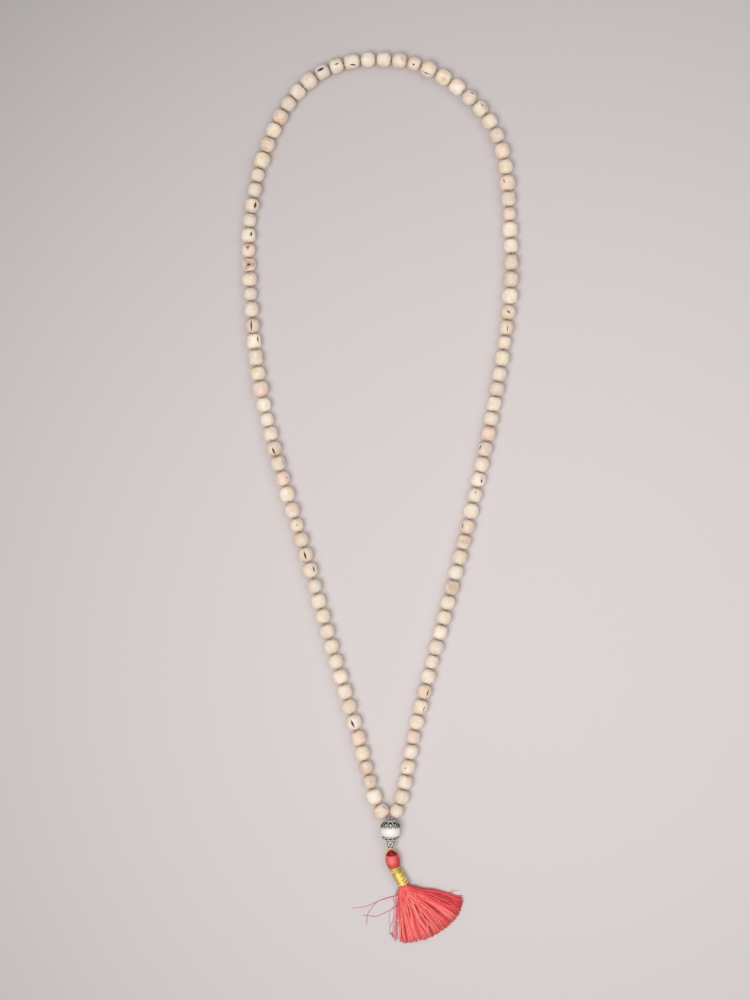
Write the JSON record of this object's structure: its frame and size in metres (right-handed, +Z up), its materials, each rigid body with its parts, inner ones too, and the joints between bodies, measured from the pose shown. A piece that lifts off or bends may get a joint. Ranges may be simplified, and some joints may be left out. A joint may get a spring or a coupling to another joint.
{
  "type": "tassel necklace",
  "caption": "Long prayer-bead necklace lying flat: a loop of pale wooden beads closed by a silver-capped white guru bead, with a coral tassel that hangs from a gold cord and a gold-wound neck.",
  "frame": {"origin": "on the table, under the middle of the whole necklace as it lies", "axes": "+X to the right of the necklace seen from above, +Y from the tassel towards the top of the loop, +Z up from the table"},
  "size_m": [0.1418, 0.4555, 0.0107],
  "materials": {
    "bead_wood": "pale turned wood, smoothed by hand, with fine grain, small pits and a faint polish",
    "bead_thread": "twisted beige-brown thread",
    "white_stone": "polished white stone",
    "silver": "oxidised silver, bright on its raised edges and dark in its openings",
    "gold_cord": "twisted gold-orange cord",
    "head_satin": "coral silk threads laid side by side with a satin sheen",
    "gold_thread": "shiny gold thread wound in close turns",
    "fringe_silk": "loose coral silk threads"
  },
  "bodies": {
    "root": {"beads_left": "bead_wood", "beads_right": "bead_wood", "thread": "bead_thread", "guru_bead": "white_stone", "cap_top": "silver", "cap_bottom": "silver", "tip_cap": "silver", "hanging_cord": "gold_cord", "tassel_head": "head_satin", "gold_wrap": "gold_thread", "fringe": "fringe_silk"}
  },
  "joints": []
}
